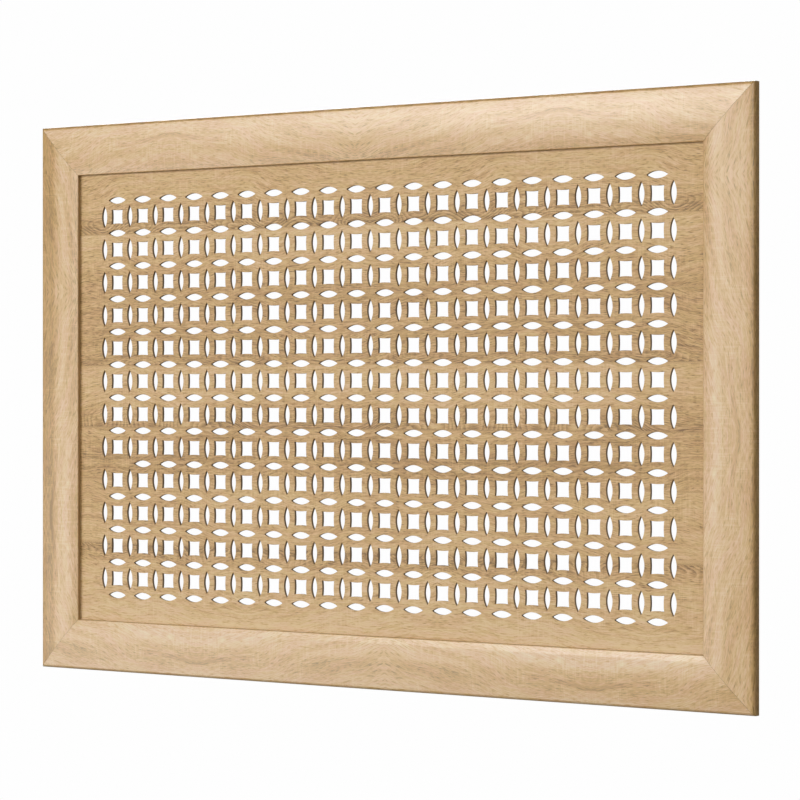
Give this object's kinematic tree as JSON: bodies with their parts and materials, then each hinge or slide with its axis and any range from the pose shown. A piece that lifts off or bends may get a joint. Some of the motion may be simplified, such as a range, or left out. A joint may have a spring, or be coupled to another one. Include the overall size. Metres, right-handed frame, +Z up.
{
  "type": "radiator screen",
  "caption": "Flat framed screen with a lattice of overlapping rings, hung in front of a radiator so that warm air passes through it.",
  "frame": {"origin": "middle of the top rail's flat back, where the screen meets the wall", "axes": "+X along the width, to the right seen from the front; +Y into the wall, so the front faces -Y; +Z up"},
  "size_m": [0.9, 0.0126, 0.6],
  "materials": {
    "moulding_foil": "light oak-decor foil on MDF moulding, satin, grain along each member",
    "panel_foil": "light oak-decor face on thin hardboard, matt, grain level"
  },
  "bodies": {
    "root": {"top_rail": "moulding_foil", "bottom_rail": "moulding_foil", "left_stile": "moulding_foil", "right_stile": "moulding_foil", "lattice_left": "panel_foil", "lattice_right": "panel_foil"}
  },
  "joints": []
}
